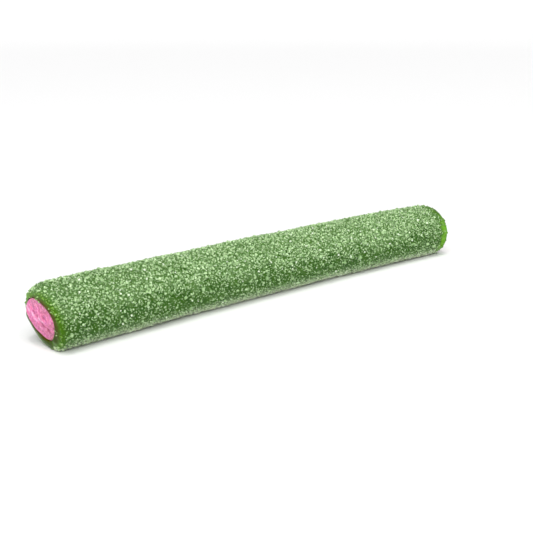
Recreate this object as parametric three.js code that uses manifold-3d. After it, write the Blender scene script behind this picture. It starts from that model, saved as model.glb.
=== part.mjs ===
// A sour watermelon pencil: a finger-long sweet with a tube of green jelly round a core of
// pink fondant, rolled in coarse sour sugar and cut to length. It lies on its side on a
// narrow flat, in millimetres, +Z up, with its length along X. The cut at -X leans, with
// its top edge standing out, as a blade leaves it.
import * as THREE from "three";
import { mergeVertices } from "three/addons/utils/BufferGeometryUtils.js";
import Module from "manifold-3d";

// Driving sizes of the stick
const LENGTH = 97.2;
const COAT_RADIUS = 5.9; // axis to the mean height of the sugar coat
const CORE_RADIUS = 3.75; // axis to the edge of the pink core
const FLAT_DEPTH = 0.35; // how far the underside is pressed flat
const BOW = 1.2; // how far the middle lies off the line between the ends
const FIT_GAP = 0.04; // between the core and the jelly round it

// Each cut rounds the tube's outer edge, along the stick and into the wall, by a mean and by
// what is added on the +Y side and at the top, and taken off on the sides opposite
const ROUND_ALONG = {
  near: { mean: 2.22, across: 1.06, up: 0.61 },
  far: { mean: 2.5, across: -0.32, up: 1.55 },
};
const ROUND_IN = {
  near: { mean: 1.35, across: 0.43, up: 0.52 },
  far: { mean: 1.38, across: 0.05, up: 0.3 },
};
const PLAIN_ROUND = 1.5; // the edge rounding in the turned profile, before it is reshaped

// Lean of the two cuts: how far a cut moves along X for each millimetre up and across
const NEAR_LEAN = { up: -0.194, across: -0.133 };
const FAR_LEAN = { up: -0.054, across: -0.036 };
const LEAN_REACH = 20; // the lean fades out over this length

// Slow swells and dents of a soft, extruded thing
const SWELLS = [
  { height: 0.05, turns: 2, waves: 3.1, start: 0.4 },
  { height: 0.04, turns: 1, waves: 5.3, start: 2.1 },
  { height: 0.03, turns: 3, waves: 7.9, start: 4.0 },
];

// Where the blade pushed the core out of round at the near cut
const CORE_OUT_OF_ROUND = [
  { size: 0.134, turns: 1, start: -2.38 },
  { size: 0.051, turns: 2, start: 1.49 },
  { size: 0.074, turns: 3, start: 0.36 },
  { size: 0.14, turns: 4, start: 2.28 },
];

// The core's cut faces: a shallow dome whose rim lies below the tube's cut, and which the
// blade squeezed out on the +Y side and at the top of the near cut, and pressed in opposite
const CORE_DOME = { near: 0.6, far: 0.42 };
const CORE_RIM_DROP = { near: 0.095, far: 0.22 };
const CORE_SQUEEZE = {
  near: { across: 0.29, up: 0.14 },
  far: { across: 0, up: 0 },
};
const FURROW_DEPTH = 0.07; // of the furrows that the blade left across the face
const FURROW_PITCH = 1.9;
const FURROW_SLANT = -0.64; // share by which the furrows lean over

// The sugar coat: a gritty skin, with the largest crystals standing on it
const GRIT_HEIGHT = 0.14;
const GRIT_SEED = 7;
const BARE_END = 1.0; // the tube shows through more in this length at each cut
const CRYSTALS = 285;
const CRYSTAL_SEED = 11;
const CRYSTAL_SIZE = { least: 0.5, most: 0.85 };
const CRYSTAL_SIDES = { long: 1, wide: 0.85, thick: 0.7 }; // as shares of its size
const SMALLER_FIRST = 2; // power that makes small crystals commoner than large ones
const CRYSTAL_SUNK = 0.3; // share of its size by which a crystal's middle is sunk
const CRYSTAL_PLAY = 0.8; // share of the mean spacing by which a crystal may stray
const CRYSTAL_FREE_HEIGHT = 1.3; // none stands lower than this, where the stick rests

// How finely the surfaces are divided
const AROUND = 30;
const COAT_STEPS = 74;
const BORE_STEPS = 6;
const BORE_KNEE = 8; // from the near cut to an extra row, where the core grows round again
const ROUND_STEPS = 4;
const FACE_RINGS = 5;
const SAME_POINT = 1e-4; // vertices closer than this are one

// Worked out from the sizes above
const HALF = LENGTH / 2;
const WALL = COAT_RADIUS - CORE_RADIUS;
const AXIS_HEIGHT = COAT_RADIUS - FLAT_DEPTH;
const GOLDEN_ANGLE = Math.PI * (3 - Math.sqrt(5));

// A repeatable stream of numbers from 0 to 1, by mixing the bits of a counter
function randomStream(seed) {
  let state = seed >>> 0;
  return () => {
    state = (state + 0x6d2b79f5) >>> 0;
    let mixed = Math.imul(state ^ (state >>> 15), state | 1);
    mixed = (mixed + Math.imul(mixed ^ (mixed >>> 7), mixed | 61)) ^ mixed;
    return ((mixed ^ (mixed >>> 14)) >>> 0) / 2 ** 32;
  };
}

// Evenly spaced values from one end to the other, both included
function steps(from, to, count) {
  return Array.from({ length: count + 1 }, (_, i) => from + ((to - from) * i) / count);
}

// Which of the two cuts a place along the stick is nearer to
function nearestCut(along) {
  return along < 0 ? "near" : "far";
}

// A size that changes with the side of the stick, at an angle round it from +Y upwards
function bySide(size, angle) {
  return size.mean + size.across * Math.cos(angle) + size.up * Math.sin(angle);
}

// Stretches 0..fromKnee to 0..toKnee, and the rest up to `end` to what is left
function stretch(value, fromKnee, toKnee, end) {
  if (value <= fromKnee) return (value * toKnee) / fromKnee;
  return toKnee + ((value - fromKnee) * (end - toKnee)) / (end - fromKnee);
}

// Height of the slow swells at a place along and around the stick
function swellAt(along, angle) {
  const phase = (2 * Math.PI * along) / LENGTH;
  return SWELLS.reduce(
    (sum, swell) =>
      sum + swell.height * Math.sin(swell.turns * angle + swell.waves * phase + swell.start),
    0,
  );
}

// How far the core's edge lies out of round at the near cut, at an angle round the stick
function outOfRoundAt(angle) {
  return CORE_OUT_OF_ROUND.reduce(
    (sum, wave) => sum + wave.size * Math.sin(wave.turns * angle + wave.start),
    0,
  );
}

// Where a point of the straight, round, turned stick ends up on the real one
function settle(point) {
  const radius = Math.hypot(point.y, point.z);
  const angle = Math.atan2(point.z, point.y);

  // The rounding of the cut edge is drawn out along the stick and into the wall
  const cut = nearestCut(point.x);
  const roundAlong = bySide(ROUND_ALONG[cut], angle);
  const roundIn = bySide(ROUND_IN[cut], angle);
  const fromCut = stretch(HALF - Math.abs(point.x), PLAIN_ROUND, roundAlong, HALF);
  const fromCoat = Math.max(COAT_RADIUS - radius, 0);
  const inset = fromCoat < WALL ? stretch(fromCoat, PLAIN_ROUND, roundIn, WALL) : fromCoat;

  // The swells are full at the coat and die away towards the core, and the core's shape
  // out of round dies away towards the coat and the axis
  const along = Math.sign(point.x) * (HALF - fromCut);
  const nearShare = Math.max(1 - (HALF + along) / LEAN_REACH, 0);
  const farShare = Math.max(1 - (HALF - along) / LEAN_REACH, 0);
  const skinShare = Math.max(1 - fromCoat / WALL, 0);
  const coreShare = Math.min(fromCoat / WALL, radius / CORE_RADIUS);
  const raised = Math.max(radius - COAT_RADIUS, 0) + swellAt(along, angle) * skinShare;
  const pushed = outOfRoundAt(angle) * coreShare * nearShare;
  const settledRadius = COAT_RADIUS - inset + raised + pushed;
  const across = settledRadius * Math.cos(angle);
  const up = settledRadius * Math.sin(angle);

  // The cuts lean, the whole stick bows sideways, and its underside is pressed flat
  const lean =
    nearShare * (NEAR_LEAN.up * up + NEAR_LEAN.across * across) +
    farShare * (FAR_LEAN.up * up + FAR_LEAN.across * across);
  const bow = BOW * (0.5 - (along / HALF) ** 2);
  return new THREE.Vector3(along + lean, across + bow, Math.max(up + AXIS_HEIGHT, 0));
}

// A geometry with only its places left, and its shared vertices merged
function bare(geometry) {
  geometry.deleteAttribute("normal");
  geometry.deleteAttribute("uv");
  return mergeVertices(geometry, SAME_POINT);
}

// Turns a profile of (radius, place along the stick) into a closed mesh along X
function turned(profile) {
  return bare(new THREE.LatheGeometry(profile, AROUND)).rotateZ(-Math.PI / 2);
}

// Moves every vertex of a geometry to where a rule puts it
function reshape(geometry, rule) {
  const position = geometry.getAttribute("position");
  const vertex = new THREE.Vector3();
  for (let i = 0; i < position.count; i++) {
    vertex.fromBufferAttribute(position, i);
    position.setXYZ(i, ...rule(vertex.clone()));
  }
  return geometry;
}

// Places along the bore and the core's side, the same for both so that their facets match
function boreStations() {
  const even = steps(PLAIN_ROUND - HALF, HALF - PLAIN_ROUND, BORE_STEPS);
  return [-HALF, even[0], BORE_KNEE - HALF, ...even.slice(1), HALF];
}

// The tube of jelly with its sugar skin: out over one rounded cut, along the coat, in over
// the other cut, and back along the bore
function shellProfile() {
  const cutRadius = (COAT_RADIUS - PLAIN_ROUND + CORE_RADIUS) / 2;
  const rounding = steps(Math.PI / 2, 0, ROUND_STEPS).map((turn) => ({
    radius: COAT_RADIUS - PLAIN_ROUND * (1 - Math.cos(turn)),
    fromCut: PLAIN_ROUND * (1 - Math.sin(turn)),
  }));
  const nearRounding = rounding.map((p) => new THREE.Vector2(p.radius, p.fromCut - HALF));
  const farRounding = rounding.map((p) => new THREE.Vector2(p.radius, HALF - p.fromCut));
  const coat = steps(PLAIN_ROUND - HALF, HALF - PLAIN_ROUND, COAT_STEPS).slice(1, -1);
  return [
    new THREE.Vector2(cutRadius, -HALF),
    ...nearRounding,
    ...coat.map((along) => new THREE.Vector2(COAT_RADIUS, along)),
    ...farRounding.reverse(),
    new THREE.Vector2(cutRadius, HALF),
    ...boreStations().reverse().map((along) => new THREE.Vector2(CORE_RADIUS, along)),
    new THREE.Vector2(cutRadius, -HALF),
  ];
}

// Roughens the coat, less at the cuts, and leaves the cut faces and the bore smooth
function addGrit(tube) {
  const random = randomStream(GRIT_SEED);
  return reshape(tube, (vertex) => {
    const draw = 2 * random() - 1;
    const onCoat = Math.hypot(vertex.y, vertex.z) > COAT_RADIUS - PLAIN_ROUND / 2;
    const share = onCoat ? Math.min((HALF - Math.abs(vertex.x)) / BARE_END, 1) : 0;
    const outward = new THREE.Vector3(0, vertex.y, vertex.z).normalize();
    return vertex.addScaledVector(outward, GRIT_HEIGHT * draw * share);
  });
}

// One sugar crystal: a small block, turned any way, whose middle is sunk in the coat
function crystal(along, angle, random) {
  const spread = CRYSTAL_SIZE.most - CRYSTAL_SIZE.least;
  const size = CRYSTAL_SIZE.least + spread * random() ** SMALLER_FIRST;
  const sides = Object.values(CRYSTAL_SIDES).map((share) => share * size);
  const turns = Object.values(CRYSTAL_SIDES).map(() => random() * Math.PI);
  const radius = COAT_RADIUS + GRIT_HEIGHT - CRYSTAL_SUNK * size;
  const place = settle(
    new THREE.Vector3(along, radius * Math.cos(angle), radius * Math.sin(angle)),
  );
  const turn = new THREE.Quaternion().setFromEuler(new THREE.Euler(...turns));
  const block = bare(new THREE.BoxGeometry(...sides));
  return block.applyQuaternion(turn).translate(...place);
}

// The largest crystals, spread evenly by a spiral of the golden angle with some play
function crystals() {
  const random = randomStream(CRYSTAL_SEED);
  const reach = HALF - BARE_END;
  const pitch = (2 * reach) / CRYSTALS;
  const spacing = Math.sqrt(2 * Math.PI * COAT_RADIUS * pitch);
  const play = () => (random() - 0.5) * spacing * CRYSTAL_PLAY;
  return Array.from({ length: CRYSTALS }, (_, i) => {
    const along = THREE.MathUtils.clamp((i + 0.5) * pitch - reach + play(), -reach, reach);
    return crystal(along, i * GOLDEN_ANGLE + play() / COAT_RADIUS, random);
  }).filter((block) => {
    block.computeBoundingBox();
    return block.boundingBox.min.z > CRYSTAL_FREE_HEIGHT;
  });
}

// The pink core as a plain rod
function coreProfile() {
  const radius = CORE_RADIUS - FIT_GAP;
  const face = steps(0, radius, FACE_RINGS);
  return [
    ...face.map((r) => new THREE.Vector2(r, -HALF)),
    ...boreStations().slice(1, -1).map((along) => new THREE.Vector2(radius, along)),
    ...face.reverse().map((r) => new THREE.Vector2(r, HALF)),
  ];
}

// Where a point of the plain rod ends up: as the tube's, with its cut faces domed, dropped
// at the rim, squeezed to one side and furrowed by the blade
function settleCore(vertex) {
  const place = settle(vertex);
  if (Math.abs(vertex.x) < HALF - SAME_POINT) return place;
  const cut = nearestCut(vertex.x);
  const share = Math.hypot(vertex.y, vertex.z) / CORE_RADIUS;
  const furrow = Math.sin((2 * Math.PI * (vertex.y + FURROW_SLANT * vertex.z)) / FURROW_PITCH);
  const domed = (CORE_DOME[cut] + FURROW_DEPTH * furrow) * (1 - share ** 2);
  const squeeze = CORE_SQUEEZE[cut];
  const squeezed = (squeeze.across * vertex.y + squeeze.up * vertex.z) / CORE_RADIUS;
  place.x += Math.sign(vertex.x) * (domed + squeezed - CORE_RIM_DROP[cut]);
  return place;
}

const wasm = await Module();
wasm.setup();

// A closed geometry as a solid that can be joined
function toSolid(geometry) {
  return new wasm.Manifold(
    new wasm.Mesh({
      numProp: 3,
      vertProperties: geometry.getAttribute("position").array,
      triVerts: new Uint32Array(geometry.index.array),
    }),
  );
}

// A joined solid as a geometry again
function toGeometry(solid) {
  const joined = solid.getMesh();
  const geometry = new THREE.BufferGeometry();
  geometry.setAttribute("position", new THREE.BufferAttribute(joined.vertProperties, 3));
  geometry.setIndex(new THREE.BufferAttribute(joined.triVerts, 1));
  return geometry;
}

// A named piece of the sweet with its own finish
function piece(name, geometry, finish) {
  geometry.computeVertexNormals();
  const mesh = new THREE.Mesh(geometry, new THREE.MeshStandardMaterial(finish));
  mesh.name = name;
  return mesh;
}

function sugaredShell() {
  const tube = reshape(addGrit(turned(shellProfile())), settle);
  const joined = wasm.Manifold.union([tube, ...crystals()].map(toSolid));
  const finish = { color: 0x6d9a4c, roughness: 0.6, metalness: 0 };
  return piece("green_jelly_shell", toGeometry(joined), finish);
}

function pinkFilling() {
  const finish = { color: 0xd586a4, roughness: 0.75, metalness: 0 };
  return piece("pink_filling", reshape(turned(coreProfile()), settleCore), finish);
}

const pencil = new THREE.Group();
pencil.add(sugaredShell(), pinkFilling());

// The stick's box is centred over the origin, with its flat on the ground
const box = new THREE.Box3().setFromObject(pencil, true);
const centre = box.getCenter(new THREE.Vector3());
pencil.position.set(-centre.x, -centre.y, -box.min.z);

export default pencil;
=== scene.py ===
"""Looks of a sour watermelon pencil: green jelly, pink fondant and a coat of sour sugar.

Every surface is worked out as whole arrays, in metres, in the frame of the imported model. The
near cut faces -X. Angles run round the stick from its +Y side by way of its top.
"""

from math import pi, sqrt

import bpy
import numpy as np
from bpy.props import FloatProperty, FloatVectorProperty, IntProperty, PointerProperty
from bpy.types import Operator, Panel, PropertyGroup
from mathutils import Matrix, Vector


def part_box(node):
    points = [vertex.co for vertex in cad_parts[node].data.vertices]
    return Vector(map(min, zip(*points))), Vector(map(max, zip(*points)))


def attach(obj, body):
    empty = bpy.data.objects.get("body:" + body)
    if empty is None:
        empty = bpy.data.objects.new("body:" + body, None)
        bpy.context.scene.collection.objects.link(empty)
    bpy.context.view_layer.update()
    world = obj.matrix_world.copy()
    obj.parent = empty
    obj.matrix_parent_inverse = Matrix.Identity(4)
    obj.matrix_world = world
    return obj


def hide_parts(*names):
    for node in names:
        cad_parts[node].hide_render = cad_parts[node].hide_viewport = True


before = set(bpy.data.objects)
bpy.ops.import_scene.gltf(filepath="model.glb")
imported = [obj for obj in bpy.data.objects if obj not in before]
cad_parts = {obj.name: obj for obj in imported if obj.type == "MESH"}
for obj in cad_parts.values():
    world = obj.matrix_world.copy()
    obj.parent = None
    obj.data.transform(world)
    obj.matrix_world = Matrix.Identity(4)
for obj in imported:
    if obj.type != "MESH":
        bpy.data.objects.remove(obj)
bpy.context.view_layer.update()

bl_info = {
    "name": "Sour Watermelon Pencil",
    "version": (1, 0, 0),
    "blender": (4, 5, 0),
    "location": "View3D > Sidebar > Sweets",
    "description": "Builds a sugared jelly stick with a fondant core and its studio",
    "category": "Add Mesh",
}

SHELL_NODE = "green_jelly_shell"
CORE_NODE = "pink_filling"
BODY = "root"

MM = 0.001
GOLDEN_ANGLE = pi * (3 - sqrt(5))


# Properties


def numbers(name, description, *defaults, **facts):
    """One number or several that a user can change, with facts such as their unit."""
    facts.update(name=name, description=description)
    if len(defaults) == 1:
        return FloatProperty(default=defaults[0], **facts)
    return FloatVectorProperty(default=defaults, size=len(defaults), **facts)


def lengths(name, description, *millimetres):
    """One length or several, given in millimetres and kept in metres."""
    metres = [length * MM for length in millimetres]
    return numbers(name, description, *metres, precision=5, unit="LENGTH")


def rgb(name, description, red, green, blue):
    """A colour, as linear red, green and blue."""
    return numbers(name, description, red, green, blue, min=0, max=1, subtype="COLOR")


class StickForm(PropertyGroup):
    """Sizes of the stick itself, with those of the solids among them. A rounding changes
    round the stick: it has its mean and what is added on the +Y side and at the top."""

    length: lengths("Length", "Along the axis, from cut to cut", 97.2)
    coat_radius: lengths("Coat radius", "To the mean height of the sugar", 5.9)
    core_radius: lengths("Core radius", "To the edge of the pink core", 3.75)
    fit_gap: lengths("Fit gap", "Between the core and the jelly", 0.04)
    flat_depth: lengths("Flat depth", "Flattening of the underside", 0.35)
    bow: lengths("Bow", "How far the middle lies off line", 1.2)
    plain_round: lengths("Plain round", "Edge rounding as turned", 1.5)
    near_round_along: lengths("Near round along", "Rounding along, near cut", 2.22, 1.06, 0.61)
    far_round_along: lengths("Far round along", "Rounding along, far cut", 2.5, -0.32, 1.55)
    near_round_in: lengths("Near round in", "Rounding inward, near cut", 1.35, 0.43, 0.52)
    far_round_in: lengths("Far round in", "Rounding inward, far cut", 1.38, 0.05, 0.3)
    lean_reach: lengths("Lean reach", "Length where a lean fades", 20)
    near_lean: numbers("Near lean", "Shift of the cut per length up and across", -0.194, -0.133)
    far_lean: numbers("Far lean", "Shift of the cut per length up and across", -0.054, -0.036)
    jelly_sink: lengths("Jelly sink", "Jelly below the coat's mean", 0.14)
    near_bare_ring: lengths("Near bare ring", "No sugar to here, full from here", 0.65, 1.4)
    far_bare_ring: lengths("Far bare ring", "No sugar to here, full from here", 2.6, 4.1)
    near_clear_band: lengths("Near clear band", "Yellower to here, not from here", 1.5, 4.0)
    far_clear_band: lengths("Far clear band", "Yellower to here, not from here", 3.6, 5.6)
    wiped_reach: lengths("Wiped reach", "Wider bare ring, near cut, one side", 1.7)
    wiped_angle: numbers("Wiped angle", "Where that side is", -0.92, subtype="ANGLE")
    kept_reach: lengths("Kept reach", "Narrower bare ring, far cut, +Y side", 1.3)
    core_dome: lengths("Core dome", "Height of its faces, near and far", 0.6, 0.42)
    core_rim_drop: lengths("Core rim drop", "Depth of its rims, near and far", 0.095, 0.22)
    core_squeeze: lengths("Core squeeze", "Near face, out across and up", 0.29, 0.14)


class SugarCoat(PropertyGroup):
    """How many grains of each kind there are, and how large they are."""

    dust_count: IntProperty(name="Dust", description="Finest grains", default=24500)
    dust_size: lengths("Dust size", "Least and most", 0.10, 0.17)
    fine_count: IntProperty(name="Fine", description="Fine grains", default=17000)
    fine_size: lengths("Fine size", "Least and most", 0.18, 0.29)
    middling_count: IntProperty(name="Middling", description="Middling grains", default=12000)
    middling_size: lengths("Middling size", "Least and most", 0.24, 0.38)
    large_count: IntProperty(name="Large", description="Large grains", default=8000)
    large_size: lengths("Large size", "Least and most", 0.30, 0.50)
    coarse_count: IntProperty(name="Coarse", description="Places tried", default=285)
    coarse_size: lengths("Coarse size", "Least and most", 0.5, 0.85)
    coarse_seed: IntProperty(name="Coarse seed", description="As in the solids", default=11)
    stray_count: IntProperty(name="Strays", description="Grains on the cuts", default=44)
    stray_size: lengths("Stray size", "Least and most", 0.18, 0.34)
    bare_end: lengths("Bare end", "No coarse crystals this near a cut", 1.0)


class SweetColours(PropertyGroup):
    """The colours of jelly, fondant and sugar."""

    jelly: rgb("Jelly", "Under the sugar", 0.032, 0.105, 0.012)
    # Also the painted sheen on the top of the bare cut ring
    jelly_dust_and_sheen: rgb("Dusted jelly", "Under fine powder", 0.180, 0.320, 0.110)
    # Painted bounce light: pale jelly low down, and the painted sheen of the wiped edge
    jelly_painted_light: rgb("Frosted jelly", "Under crushed sugar", 0.36, 0.44, 0.28)
    jelly_edge: rgb("Jelly edge", "Next to a cut", 0.070, 0.185, 0.006)
    jelly_cut: rgb("Jelly cut", "On the cut ring", 0.030, 0.085, 0.004)
    # Brown beside the core: partly the jelly's own colour, partly painted shade
    jelly_seam_stain_and_shade: rgb("Jelly seam", "Stains beside the core", 0.100, 0.064, 0.003)
    # Painted shade in the crevice where the core meets the jelly
    jelly_gap_shade: rgb("Jelly gap", "Dark gap beside the core", 0.020, 0.012, 0.003)
    jelly_lime: rgb("Jelly lime", "Edges, lit through", 0.190, 0.480, 0.030)
    sugar_clear: rgb("Clear sugar", "Grains that show jelly", 0.11, 0.23, 0.06)
    sugar_pale: rgb("Pale sugar", "Grains that look cloudy", 0.56, 0.77, 0.42)
    # The whitest grains, picked at random, stand in for glints: painted highlights
    sugar_white: rgb("White sugar", "The few whitest grains", 0.80, 0.92, 0.70)
    # Painted bounce light: pale grains low down
    sugar_frost: rgb("Frosty sugar", "Crushed grains low down", 0.78, 0.84, 0.66)
    edge_clear: rgb("Clear at a cut", "Clear sugar there", 0.10, 0.24, 0.012)
    edge_pale: rgb("Pale at a cut", "Pale sugar there", 0.28, 0.48, 0.09)
    fondant: rgb("Fondant", "The pink core", 0.80, 0.19, 0.40)
    fondant_purple: rgb("Fondant purple", "Its deeper patches", 0.64, 0.13, 0.40)
    # Painted highlights on the ridges of the blade's marks and on raised specks
    fondant_highlight: rgb("Fondant light", "Its pale streaks", 0.96, 0.40, 0.64)
    # Painted highlights on the glossy places, and a painted sheen
    fondant_glint: rgb("Fondant glint", "Its glossy places", 1.0, 0.58, 0.80)
    # Painted shade in the grooves of the blade's marks and in the pits
    fondant_hollow_shade: rgb("Fondant dark", "Its pits", 0.30, 0.030, 0.09)
    # Painted shade on the cut faces, mostly near their rims where the jelly's lip shades the core
    fondant_shade: rgb("Fondant shade", "Dull places", 0.46, 0.16, 0.22)
    fondant_rim: rgb("Fondant rim", "Peach edge on one side", 0.88, 0.36, 0.30)


class StudioSetup(PropertyGroup):
    """The camera, the lights and the floor."""

    lens: numbers("Lens", "Focal length", 54.67, unit="CAMERA")
    distance: lengths("Distance", "Camera to aim point", 161.25)
    aim: lengths("Aim", "What the camera looks at, from the stick's middle", -1.06, -0.68, 5.51)
    azimuth: numbers("Azimuth", "Direction of the view, from +Y", -0.6776, subtype="ANGLE")
    elevation: numbers("Elevation", "Camera above the horizon", 0.2938, subtype="ANGLE")
    floor_colour: rgb("Floor", "The pale floor", 0.88, 0.88, 0.88)
    sky_strength: numbers("Sky", "Light all round", 0.18)
    key_strength: numbers("Key", "Broad light above", 3.42)
    key_spread: numbers("Key spread", "How broad the light above is", 1.05, subtype="ANGLE")
    spark_power: numbers("Spark", "Small lamp", 0.5, unit="POWER")


# Curves and fields


def rise(value, low, high, full=1):
    """A smooth step from 0 at low to full at high: three times the square of the share of
    the way, less twice its cube."""
    step = np.clip((value - low) / (high - low), 0, 1)
    return full * (step * step * (3 - 2 * step))


def about(angle, middle, spread):
    """A bell curve round the stick that is 1 at its middle: e to minus the square of the
    straight distance on a circle of radius 1, over the spread."""
    return np.exp(-((np.sin((angle - middle) / 2) * 2 / spread) ** 2))


def between(limits, share):
    """Runs evenly from the first limit to the second."""
    return limits[0] + (limits[1] - limits[0]) * share


def sine_waves(waves, angle, phase=0):
    """A sum of sine waves, each with its height, its turns round the stick, its waves along
    the stick and its start."""
    return sum(
        height * np.sin(turns * angle + along * phase + start)
        for height, turns, along, start in waves
    )


RIPPLE_WAVES = 28


def ripples(points, wavelength, seed, height=1):
    """A smooth random field with a spread of about its height: the sum of sine waves that
    run in random directions, with wavelengths from half to twice the one given."""
    draw = np.random.default_rng(seed)
    direction = draw.normal(size=(RIPPLE_WAVES, 3))
    direction /= np.linalg.norm(direction, axis=1)[:, None]
    number = 2 * pi / (wavelength * 2 ** draw.uniform(-1, 1, RIPPLE_WAVES))
    phase = draw.uniform(0, 2 * pi, RIPPLE_WAVES)
    waves = np.sin(points @ (direction * number[:, None]).T + phase)
    return height * waves.sum(1) * sqrt(2 / RIPPLE_WAVES)


# The form of the stick


# Each wave has its height, turns round the stick, waves along it and start
SWELLS = (
    (0.05 * MM, 2, 3.1, 0.4),
    (0.04 * MM, 1, 5.3, 2.1),
    (0.03 * MM, 3, 7.9, 4.0),
)
OUT_OF_ROUND = (
    (0.134 * MM, 1, 0, -2.38),
    (0.051 * MM, 2, 0, 1.49),
    (0.074 * MM, 3, 0, 0.36),
    (0.14 * MM, 4, 0, 2.28),
)


def stretch(value, from_knee, to_knee, end):
    """Stretches 0..from_knee to 0..to_knee, and the rest up to end to what is left."""
    rest = to_knee + (value - from_knee) * (end - to_knee) / (end - from_knee)
    return np.where(value <= from_knee, value * to_knee / from_knee, rest)


def rounding(near, far, x, angle):
    """The rounding of the near cut where x is negative and of the far cut elsewhere: its
    mean, its gain across times the angle's cosine and its gain upwards times the sine."""
    mean, across, up = np.where(x < 0, np.array(near)[:, None], np.array(far)[:, None])
    return mean + across * np.cos(angle) + up * np.sin(angle)


def nearness(from_cut, form):
    """How near points are to a cut: 1 at the cut, falling evenly to 0 where its lean fades."""
    return np.maximum(1 - from_cut / form.lean_reach, 0)


def out_of_round(along, angle, form):
    """How far the blade pushed the core's edge out of round: a sum of sine waves round the
    stick that is full at the near cut."""
    return sine_waves(OUT_OF_ROUND, angle) * nearness(form.length / 2 + along, form)


def rounded(x, radius, angle, form):
    """Place along and radius of points of the turned stick once its cut edges are rounded.

    The edge rounding of each cut is drawn out along the stick and into the wall, by amounts
    that change round the stick. Slow swells lift the skin and die away towards the core,
    and the core's shape out of round dies away towards the coat and the axis."""
    half = form.length / 2
    wall = form.coat_radius - form.core_radius
    round_along = rounding(form.near_round_along, form.far_round_along, x, angle)
    round_in = rounding(form.near_round_in, form.far_round_in, x, angle)
    from_cut = stretch(half - np.abs(x), form.plain_round, round_along, half)
    from_coat = np.maximum(form.coat_radius - radius, 0)
    in_wall = stretch(from_coat, form.plain_round, round_in, wall)
    inset = np.where(from_coat < wall, in_wall, from_coat)
    along = np.sign(x) * (half - from_cut)
    skin = np.maximum(1 - from_coat / wall, 0)
    swell = sine_waves(SWELLS, angle, 2 * pi * along / form.length) * skin
    core_share = np.minimum(from_coat / wall, radius / form.core_radius)
    pushed = out_of_round(along, angle, form) * core_share
    raised = np.maximum(radius - form.coat_radius, 0) + swell + pushed
    return along, form.coat_radius - inset + raised


def settle(x, radius, angle, form):
    """Where points of the straight, turned stick end up on the real one.

    The cuts lean as a shear that fades along the stick, the axis bows as a parabola, and
    what would lie below the table is raised to it."""
    half = form.length / 2
    along, settled = rounded(x, radius, angle, form)
    across, up = settled * np.cos(angle), settled * np.sin(angle)
    near = nearness(half + along, form)
    far = nearness(half - along, form)
    lean = near * (form.near_lean[0] * up + form.near_lean[1] * across)
    lean = lean + far * (form.far_lean[0] * up + form.far_lean[1] * across)
    bow = form.bow * (0.5 - (along / half) ** 2)
    axis_height = form.coat_radius - form.flat_depth
    return np.stack([along + lean, across + bow, np.maximum(up + axis_height, 0)], axis=-1)


def turned(x, radius, angle):
    """Points of the straight, turned stick: the place along, and the radius times the
    angle's cosine and times its sine."""
    return np.stack([x, radius * np.cos(angle), radius * np.sin(angle)], axis=-1)


def turn_round(x, radius, around):
    """An outline repeated at even angles round the axis, as places, radii and angles."""
    angle = np.linspace(0, 2 * pi, around, endpoint=False)
    return np.repeat(x, around), np.repeat(radius, around), np.tile(angle, len(x))


def both_ends(from_cut, radius, side, form):
    """An outline from end to end: a part that starts at the near cut, the places along the
    side, which keep its last radius, and the mirrored part at the far cut."""
    half = form.length / 2
    x = np.concatenate([from_cut - half, side, (half - from_cut)[::-1]])
    return x, np.concatenate([radius, np.full_like(side, radius[-1]), radius[::-1]])


# Where the sugar lies


EDGE_WAVER = (0.1 * MM, 0.4 * MM)
EDGE_RIPPLES = (1.8 * MM, 8)
WIPED_SIDE = (0.5, 0.8)
KEPT_SIDE = (-0.4, 0.4)
# Each clump has its middle and spread as angles, and its reach into bare ring and clear band
NEAR_CLUMPS = ((1.4, 0.4, 0.2 * MM, 2.4 * MM), (-2.0, 0.13, 0.7 * MM, 1.6 * MM))
# Painted bounce light from the floor on the underside, laid on as pale crushed sugar
PAINTED_LIGHT_REACH = 16 * MM
PAINTED_LIGHT_LESS_NEAR = 0.45
PAINTED_LIGHT_LESS_CLEAR = 0.6
PAINTED_LIGHT_STEPS = ((0.4, 1.0, 1.0), (0.77, 0.88, 0.6))


def sugar_cover(x, radius, angle, form):
    """How fully sugar covers the skin, from 0 on a bare ring to 1, and how clear the band
    beside a cut is, from 1 to 0: smooth steps of the distance from the core's edge, which
    is taken out over the ring and then along the stick.

    Where the near cut was wiped on one side, both begin further out, and on the +Y side of
    the far cut both begin further in. Clumps of sugar at the near cut's edge bring them
    further in too, each with a bell curve round the stick. Both waver."""
    along, settled = rounded(x, radius, angle, form)
    core_edge = form.core_radius + out_of_round(along, angle, form)
    reach = settled - core_edge + form.length / 2 - np.abs(along)
    near = x < 0
    waver = ripples(turned(x, radius, angle), *EDGE_RIPPLES)
    wiped = rise(np.cos(angle - form.wiped_angle), *WIPED_SIDE, form.wiped_reach)
    kept = rise(np.cos(angle), *KEPT_SIDE, form.kept_reach)
    reach = reach + np.where(near, *EDGE_WAVER) * waver + np.where(near, -wiped, kept)
    bare = [np.where(near, *ends) for ends in zip(form.near_bare_ring, form.far_bare_ring)]
    band = [np.where(near, *ends) for ends in zip(form.near_clear_band, form.far_clear_band)]
    into_bare, into_band = sum(
        about(angle, middle, spread) * near * np.array(reaches)[:, None]
        for middle, spread, *reaches in NEAR_CLUMPS
    )
    return rise(reach + into_bare, *bare), 1 - rise(reach + into_band, *band)


def painted_light_below_at(x, angle, clear, form):
    """How strongly bounce light from the floor is painted on the underside, laid on as pale
    crushed sugar: a smooth step downwards round the stick and a steeper, smaller one lowest
    down, weaker towards the near cut and in the clear band beside a cut."""
    lost_near = rise(1 - (form.length / 2 + x) / PAINTED_LIGHT_REACH, 0, 1, PAINTED_LIGHT_LESS_NEAR)
    frost = sum(rise(-np.sin(angle), *step) for step in PAINTED_LIGHT_STEPS)
    return frost * (1 - lost_near) * (1 - PAINTED_LIGHT_LESS_CLEAR * clear)


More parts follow.
